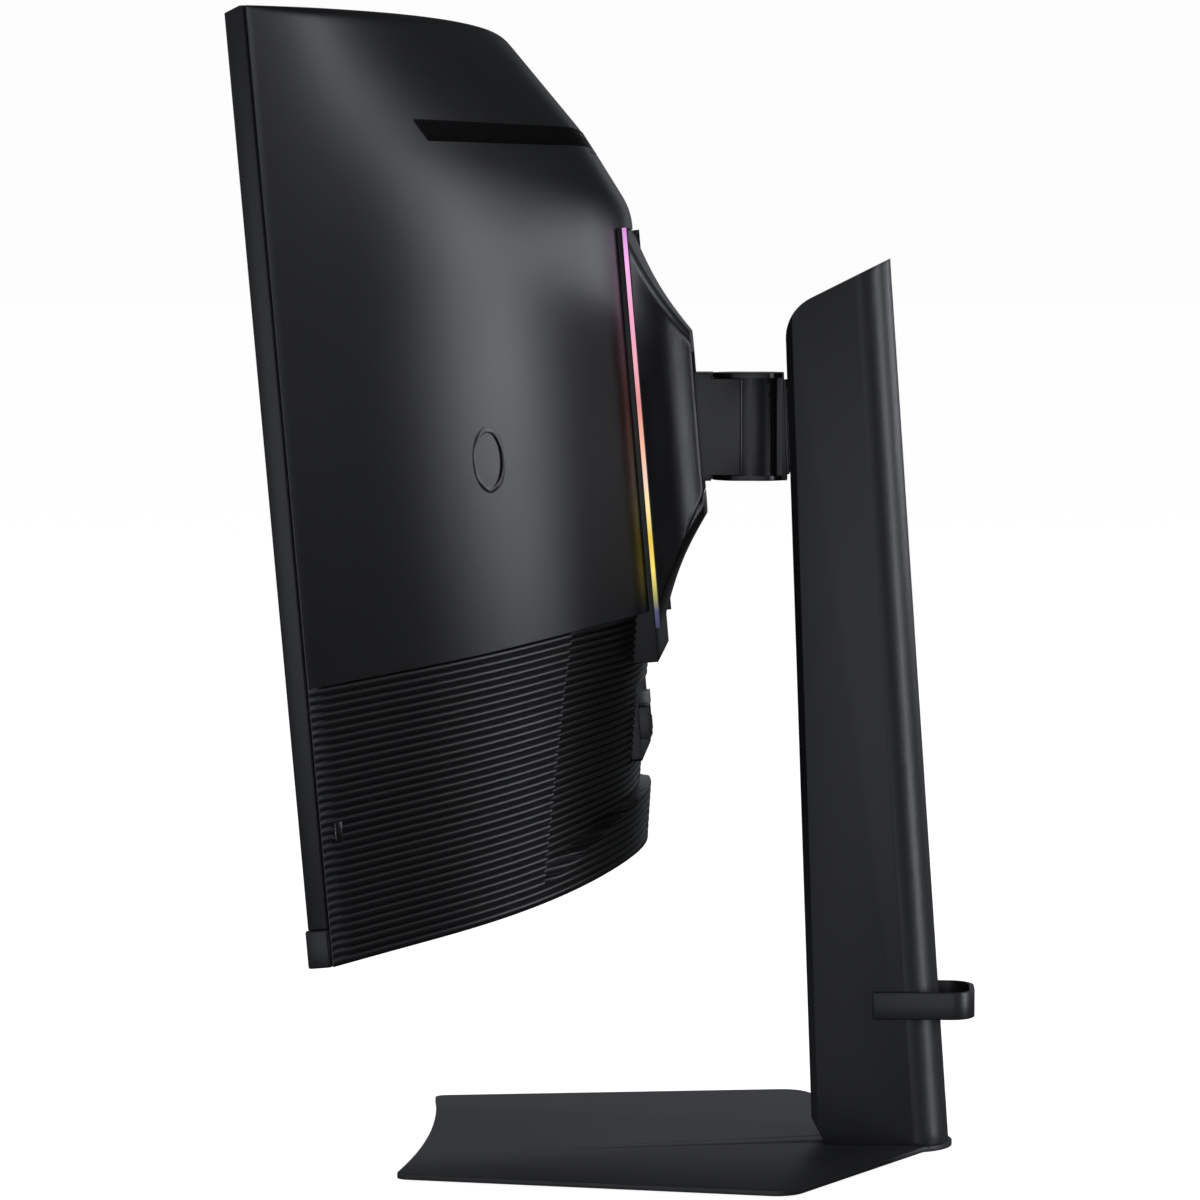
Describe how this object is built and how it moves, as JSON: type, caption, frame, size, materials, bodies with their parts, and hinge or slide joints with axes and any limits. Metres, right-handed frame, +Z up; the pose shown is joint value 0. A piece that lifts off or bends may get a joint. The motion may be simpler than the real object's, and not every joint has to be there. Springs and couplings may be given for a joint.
{
  "type": "curved computer monitor on a height-adjustable stand",
  "caption": "Curved desktop monitor with a ribbed back and lit strips beside its hub, on a slim column stand that raises, swivels and tilts it.",
  "frame": {"origin": "on the desk, under the middle of the column's foot, at the underside of the middle rubber foot", "axes": "+X across the screen to the right as seen from the front, -Y the way the screen faces, +Z up"},
  "size_m": [0.832, 0.3912, 0.6691],
  "materials": {
    "bezel_plastic": "fine-grained satin black",
    "panel_glass": "dark anti-glare film",
    "shell_plastic": "fine-grained matt black",
    "ribbed_plastic": "matt black, finely ribbed",
    "inner_plastic": "matt black",
    "light_diffuser": "milky, lit from behind",
    "sheet_white": "milky sheet",
    "circuit_board": "solder mask",
    "plain_steel": "zinc-plated",
    "socket_metal": "plated shell",
    "socket_plastic": "black moulding",
    "arm_paint": "satin black",
    "column_paint": "satin charcoal black",
    "base_paint": "fine-textured satin black",
    "cast_alloy": "as cast",
    "strut_black": "black",
    "bearing_plastic": "natural bearing plastic",
    "rubber_pad": "matt",
    "clip_plastic": "satin black",
    "ring_plastic": "matt black",
    "button_plastic": "satin black"
  },
  "bodies": {
    "stand": {"column_shell": "column_paint", "column_front_cover": "column_paint", "column_frame": "plain_steel", "slide_rails": "plain_steel", "strut_cylinder": "strut_black", "strut_clamps": "plain_steel", "foot_flange": "plain_steel", "base_screws": "plain_steel", "base_plate": "base_paint", "rubber_feet": "rubber_pad", "cable_clip": "clip_plastic"},
    "lift": {"arm_block": "arm_paint", "swivel_shaft": "plain_steel", "arm_back_plate": "arm_paint", "carriage": "cast_alloy", "carriage_screws": "plain_steel", "slide_pads": "bearing_plastic", "strut_rod": "plain_steel"},
    "head": {"swivel_head": "arm_paint", "tilt_pin": "plain_steel", "swivel_bush": "bearing_plastic"},
    "screen": {"front_bezel": "bezel_plastic", "chin_bar": "bezel_plastic", "lcd_panel": "panel_glass", "diffuser_sheet": "sheet_white", "light_guide": "sheet_white", "backlight_leds": "circuit_board", "backlight_tray": "plain_steel", "rear_cover_upper": "shell_plastic", "rear_cover_lower": "ribbed_plastic", "vent_grille": "inner_plastic", "badge_ring": "ring_plastic", "cover_screws": "plain_steel", "hub_frame": "inner_plastic", "light_boards": "circuit_board", "light_strips": "light_diffuser", "hub_cover": "shell_plastic", "hub_lower_cover": "shell_plastic", "mount_posts": "plain_steel", "mount_plate": "plain_steel", "tilt_bracket": "plain_steel", "bracket_screws": "plain_steel", "tilt_washers": "plain_steel", "main_board": "circuit_board", "board_shield": "plain_steel", "power_board": "circuit_board", "port_block": "inner_plastic", "power_inlet": "socket_plastic", "video_sockets": "socket_metal", "usb_sockets": "socket_metal", "audio_socket": "inner_plastic", "jog_holder": "inner_plastic", "status_lens": "light_diffuser"},
    "jog_rocker": {"jog_ring": "inner_plastic"},
    "jog_cross": {"jog_cradle": "inner_plastic"},
    "jog_key": {"jog_button": "button_plastic"}
  },
  "joints": [
    {"name": "height_slide", "type": "slide", "parent": "stand", "child": "lift", "axis": [0, -0.0361, 0.9993], "range_m": [-0.11, 0.01]},
    {"name": "screen_swivel", "type": "hinge", "parent": "lift", "child": "head", "pos_m": [0, -0.079, 0.435], "axis": [0, 0, 1], "range_deg": [-15, 15]},
    {"name": "screen_tilt", "type": "hinge", "parent": "head", "child": "screen", "pos_m": [0, -0.13294, 0.4357], "axis": [-1, 0, 0], "range_deg": [0, 20]},
    {"name": "jog_fore_aft", "type": "hinge", "parent": "screen", "child": "jog_rocker", "pos_m": [0, -0.172, 0.18984], "axis": [1, 0, 0], "range_deg": [-5, 5], "stiffness_Nm_per_rad": 0.03},
    {"name": "jog_side", "type": "hinge", "parent": "jog_rocker", "child": "jog_cross", "pos_m": [0, -0.172, 0.18984], "axis": [0, 0.9963, 0.0858], "range_deg": [-5, 5], "stiffness_Nm_per_rad": 0.03},
    {"name": "jog_press", "type": "slide", "parent": "jog_cross", "child": "jog_key", "axis": [0, -0.0858, 0.9963], "range_m": [0, 0.0008], "stiffness_N_per_m": 400, "springref_m": -0.001}
  ]
}
